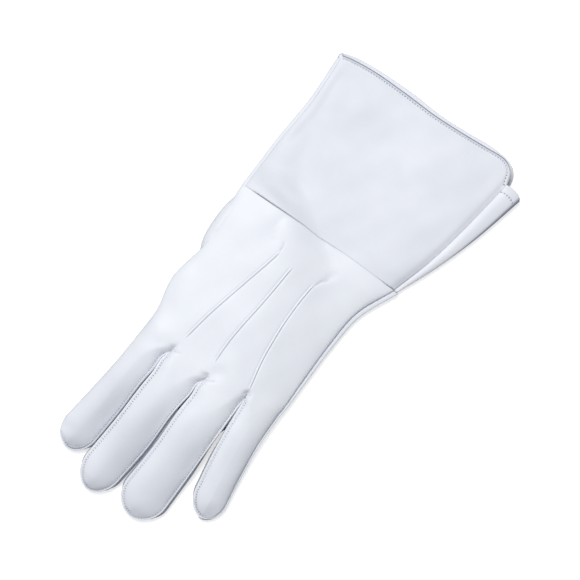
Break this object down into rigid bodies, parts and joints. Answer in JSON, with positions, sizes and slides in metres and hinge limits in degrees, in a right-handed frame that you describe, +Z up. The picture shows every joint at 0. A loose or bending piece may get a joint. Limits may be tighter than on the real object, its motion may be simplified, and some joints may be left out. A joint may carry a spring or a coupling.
{
  "type": "long cuff leather dress glove",
  "caption": "Left-hand dress glove of white leather with a long flared cuff, side gusset and three raised points on the back, lying palm down to cover the hand and forearm.",
  "frame": {"origin": "centre of the bounding box's underside, on the surface that the glove lies on", "axes": "+Y from the cuff to the fingertips, +X to the thumb side, +Z up from the palm to the back of the hand"},
  "size_m": [0.1474, 0.3334, 0.0211],
  "materials": {
    "white_leather": "smooth white glove leather, soft sheen"
  },
  "bodies": {
    "root": {"hand_back": "white_leather", "hand_palm": "white_leather", "fork_index_middle": "white_leather", "fork_middle_ring": "white_leather", "fork_ring_little": "white_leather", "thumb": "white_leather", "cuff_back": "white_leather", "cuff_palm": "white_leather", "cuff_gusset": "white_leather"}
  },
  "joints": []
}
